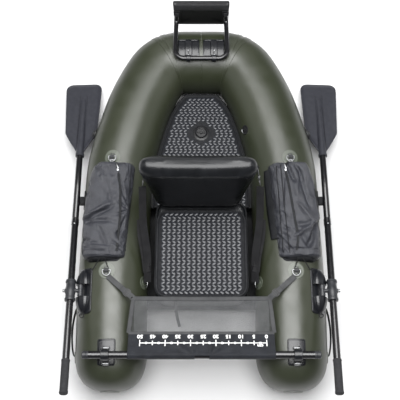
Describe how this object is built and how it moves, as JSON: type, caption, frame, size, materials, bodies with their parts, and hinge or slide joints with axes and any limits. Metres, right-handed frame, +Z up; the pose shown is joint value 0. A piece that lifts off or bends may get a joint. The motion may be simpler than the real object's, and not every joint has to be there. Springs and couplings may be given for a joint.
{
  "type": "inflatable belly boat",
  "caption": "One-seat inflatable belly boat: horseshoe air hull, padded seat with folding back, floor deck, foot bar with ruler apron, stowed oars, side bags and motor bracket.",
  "frame": {"origin": "under the middle of the whole boat, on the surface that it rests on", "axes": "+X to the boat's side called right, seen from the open bow; +Y toward the closed stern with the motor bracket; +Z up"},
  "size_m": [1.337, 1.7428, 0.5937],
  "materials": {
    "hull_fabric": "satin",
    "patch_fabric": "satin",
    "floor_fabric": "satin",
    "eva_foam": "matte",
    "seat_fabric": "gloss",
    "valve_plastic": "satin",
    "black_tube": "gloss",
    "apron_nylon": "satin",
    "apron_net": "matte",
    "grey_webbing": "matte",
    "black_webbing": "matte",
    "pad_rubber": "satin",
    "bag_nylon": "satin",
    "grey_plastic": "satin",
    "steel": "polished",
    "board_plastic": "satin",
    "grip_foam": "matte",
    "blade_plastic": "satin"
  },
  "bodies": {
    "hull": {"floor_sheet": "floor_fabric", "deck_block": "floor_fabric", "deck_pad": "eva_foam", "deck_valve": "valve_plastic", "seat_block": "seat_fabric", "seat_pad": "eva_foam", "foot_bar": "black_tube", "apron_sleeve": "apron_nylon", "apron_net": "apron_net", "right_air_chamber": "hull_fabric", "right_main_valve": "valve_plastic", "right_front_ring_patch": "patch_fabric", "right_rear_ring_patch": "patch_fabric", "right_backrest_strap": "black_webbing", "right_bar_mount": "pad_rubber", "right_apron_strap": "grey_webbing", "right_carry_handle": "black_webbing", "right_side_bag": "bag_nylon", "right_oarlock_pad": "pad_rubber", "right_oar_rest": "pad_rubber", "right_motor_pad": "pad_rubber", "left_air_chamber": "hull_fabric", "left_main_valve": "valve_plastic", "left_front_ring_patch": "patch_fabric", "left_rear_ring_patch": "patch_fabric", "left_backrest_strap": "black_webbing", "left_bar_mount": "pad_rubber", "left_apron_strap": "grey_webbing", "left_carry_handle": "black_webbing", "left_side_bag": "bag_nylon", "left_oarlock_pad": "pad_rubber", "left_oar_rest": "pad_rubber", "left_motor_pad": "pad_rubber"},
    "backrest": {"backrest": "seat_fabric"},
    "motor_bracket": {"motor_frame": "black_tube", "motor_board": "board_plastic"},
    "deck_valve_cap": {"deck_valve_cap": "valve_plastic"},
    "right_oarlock": {"right_oarlock_block": "grey_plastic", "right_oarlock_pin": "steel"},
    "right_oar": {"right_oar_sleeve": "grey_plastic", "right_oar_front_shaft": "black_tube", "right_oar_rear_shaft": "black_tube", "right_oar_grip": "grip_foam", "right_oar_blade": "blade_plastic"},
    "right_snap_button": {"right_oar_snap_button": "steel"},
    "right_front_ring": {"right_front_d_ring": "steel"},
    "right_rear_ring": {"right_rear_d_ring": "steel"},
    "right_valve_cap": {"right_main_valve_cap": "valve_plastic"},
    "left_oarlock": {"left_oarlock_block": "grey_plastic", "left_oarlock_pin": "steel"},
    "left_oar": {"left_oar_sleeve": "grey_plastic", "left_oar_front_shaft": "black_tube", "left_oar_rear_shaft": "black_tube", "left_oar_grip": "grip_foam", "left_oar_blade": "blade_plastic"},
    "left_snap_button": {"left_oar_snap_button": "steel"},
    "left_front_ring": {"left_front_d_ring": "steel"},
    "left_rear_ring": {"left_rear_d_ring": "steel"},
    "left_valve_cap": {"left_main_valve_cap": "valve_plastic"}
  },
  "joints": [
    {"name": "backrest_fold", "type": "hinge", "parent": "hull", "child": "backrest", "pos_m": [0, -0.088, 0.2521], "axis": [1, 0, 0], "range_deg": [0, 93], "deforming": ["right_backrest_strap", "left_backrest_strap"]},
    {"name": "motor_bracket_fold", "type": "hinge", "parent": "hull", "child": "motor_bracket", "pos_m": [0, 0.629, 0.317], "axis": [1, 0, 0], "range_deg": [0, 90]},
    {"name": "deck_valve_cap_turn", "type": "hinge", "parent": "hull", "child": "deck_valve_cap", "pos_m": [0, 0.344, 0.121], "axis": [0, 0, 1], "range_deg": [0, 90]},
    {"name": "right_oarlock_swivel", "type": "hinge", "parent": "hull", "child": "right_oarlock", "pos_m": [0.5, -0.448, 0.272], "axis": [0, -1, 0], "range_deg": [0, 35]},
    {"name": "right_oar_pivot", "type": "hinge", "parent": "right_oarlock", "child": "right_oar", "pos_m": [0.541, -0.448, 0.272], "axis": [1, 0, 0], "range_deg": [0, 16]},
    {"name": "right_snap_button_press", "type": "slide", "parent": "right_oar", "child": "right_snap_button", "axis": [-0.0081, -0.2112, -0.9774], "range_m": [0, 0.0022], "stiffness_N_per_m": 400, "springref_m": -0.001},
    {"name": "right_front_ring_swing", "type": "hinge", "parent": "hull", "child": "right_front_ring", "pos_m": [0.392, -0.368, 0.308], "axis": [-1, 0, 0], "range_deg": [0, 20]},
    {"name": "right_rear_ring_swing", "type": "hinge", "parent": "hull", "child": "right_rear_ring", "pos_m": [0.39, 0.143, 0.307], "axis": [-1, 0, 0], "range_deg": [0, 110]},
    {"name": "right_valve_cap_turn", "type": "hinge", "parent": "hull", "child": "right_valve_cap", "pos_m": [0.4995, 0.3239, 0.15], "axis": [0.9697, 0.2444, 0], "range_deg": [0, 90]},
    {"name": "left_oarlock_swivel", "type": "hinge", "parent": "hull", "child": "left_oarlock", "pos_m": [-0.5, -0.448, 0.272], "axis": [0, 1, 0], "range_deg": [0, 35]},
    {"name": "left_oar_pivot", "type": "hinge", "parent": "left_oarlock", "child": "left_oar", "pos_m": [-0.541, -0.448, 0.272], "axis": [1, 0, 0], "range_deg": [0, 16]},
    {"name": "left_snap_button_press", "type": "slide", "parent": "left_oar", "child": "left_snap_button", "axis": [0.0081, -0.2112, -0.9774], "range_m": [0, 0.0022], "stiffness_N_per_m": 400, "springref_m": -0.001},
    {"name": "left_front_ring_swing", "type": "hinge", "parent": "hull", "child": "left_front_ring", "pos_m": [-0.392, -0.368, 0.308], "axis": [-1, 0, 0], "range_deg": [0, 20]},
    {"name": "left_rear_ring_swing", "type": "hinge", "parent": "hull", "child": "left_rear_ring", "pos_m": [-0.39, 0.143, 0.307], "axis": [-1, 0, 0], "range_deg": [0, 110]},
    {"name": "left_valve_cap_turn", "type": "hinge", "parent": "hull", "child": "left_valve_cap", "pos_m": [-0.4995, 0.3239, 0.15], "axis": [-0.9697, 0.2444, 0], "range_deg": [0, 90]}
  ]
}
